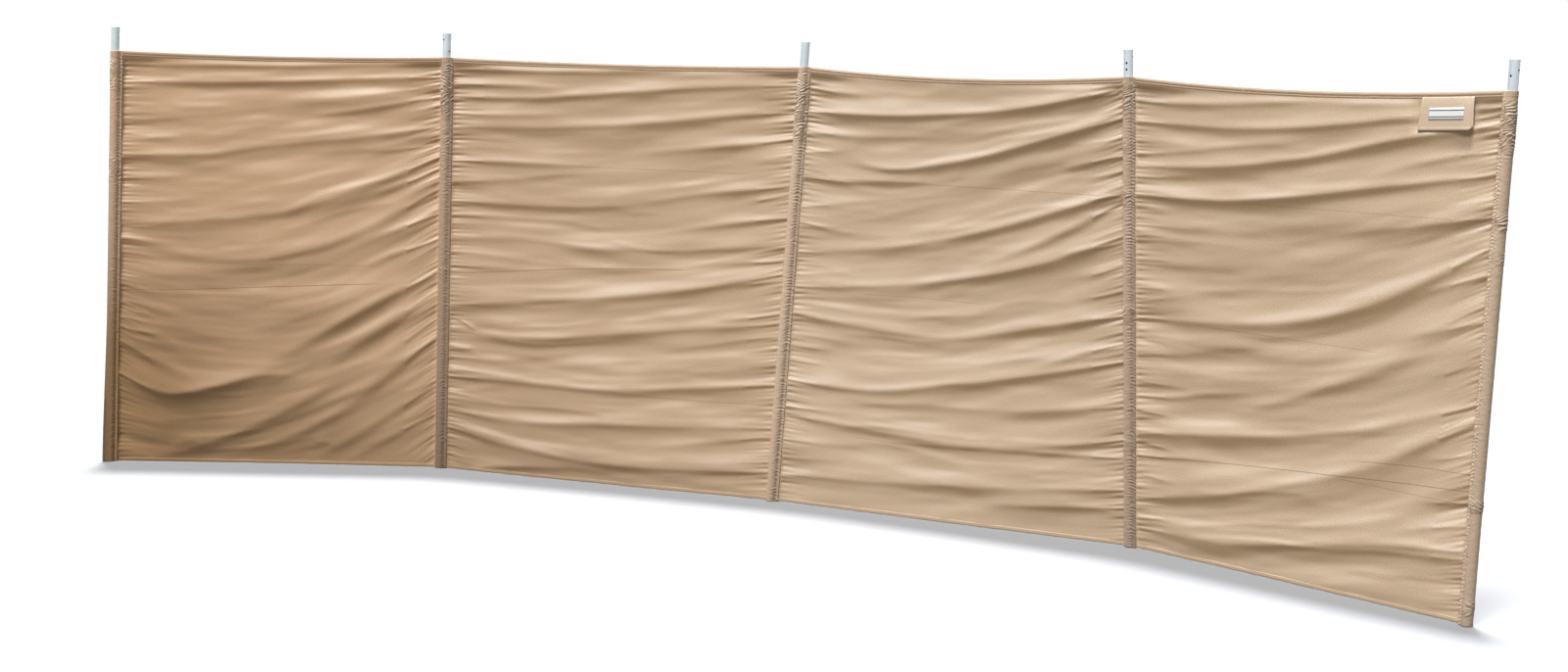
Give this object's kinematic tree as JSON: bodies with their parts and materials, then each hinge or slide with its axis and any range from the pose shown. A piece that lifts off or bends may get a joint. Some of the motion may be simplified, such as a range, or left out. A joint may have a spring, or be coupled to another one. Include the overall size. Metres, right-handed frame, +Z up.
{
  "type": "beach windbreak",
  "caption": "Row of sewn canvas bays on round poles that stand in the ground as a windbreak; the bays swing about the poles.",
  "frame": {"origin": "centre of the foot of pole 3, the middle pole, level with the ground", "axes": "+Z up; +X to the right along the row, seen from the side with the label; +Y away from that side"},
  "size_m": [4.1842, 2.1109, 1.482],
  "materials": {
    "pole_steel": "pale zinc grey, satin, slightly weathered",
    "plug_plastic": "off-white, matt",
    "canvas": "plain woven cotton canvas, warm tan, creased",
    "sleeve_canvas": "plain woven cotton canvas, tan, slightly greyer",
    "label": "woven tape, off-white with two navy stripes"
  },
  "bodies": {
    "bay_2": {"pole_2": "pole_steel", "pole_cap_2": "plug_plastic", "foot_plug_2": "plug_plastic", "sleeve_2": "sleeve_canvas", "pole_3": "pole_steel", "pole_cap_3": "plug_plastic", "foot_plug_3": "plug_plastic", "sleeve_3": "sleeve_canvas", "seam_band_2": "sleeve_canvas", "panel_2": "canvas", "top_hem_2": "canvas", "bottom_hem_2": "canvas"},
    "bay_1": {"pole_1": "pole_steel", "pole_cap_1": "plug_plastic", "foot_plug_1": "plug_plastic", "sleeve_1": "sleeve_canvas", "seam_band_1": "sleeve_canvas", "panel_1": "canvas", "top_hem_1": "canvas", "bottom_hem_1": "canvas"},
    "bay_3": {"pole_4": "pole_steel", "pole_cap_4": "plug_plastic", "foot_plug_4": "plug_plastic", "sleeve_4": "sleeve_canvas", "seam_band_3": "sleeve_canvas", "panel_3": "canvas", "top_hem_3": "canvas", "bottom_hem_3": "canvas"},
    "bay_4": {"pole_5": "pole_steel", "pole_cap_5": "plug_plastic", "foot_plug_5": "plug_plastic", "sleeve_5": "sleeve_canvas", "seam_band_4": "sleeve_canvas", "seam_band_5": "sleeve_canvas", "panel_4": "canvas", "top_hem_4": "canvas", "bottom_hem_4": "canvas", "label_flap": "canvas", "woven_label": "label"}
  },
  "joints": [
    {"name": "swing_at_pole_2", "type": "hinge", "parent": "bay_2", "child": "bay_1", "pos_m": [-1.14071, 0.49127, 0], "axis": [0.0122, 0, 0.9999], "range_deg": [-103, 57]},
    {"name": "swing_at_pole_3", "type": "hinge", "parent": "bay_2", "child": "bay_3", "pos_m": [0, 0, 0], "axis": [-0.0541, 0, -0.9985], "range_deg": [-87, 73]},
    {"name": "swing_at_pole_4", "type": "hinge", "parent": "bay_3", "child": "bay_4", "pos_m": [1.07618, -0.63392, 0], "axis": [0.0384, 0, -0.9993], "range_deg": [-101, 59]}
  ]
}
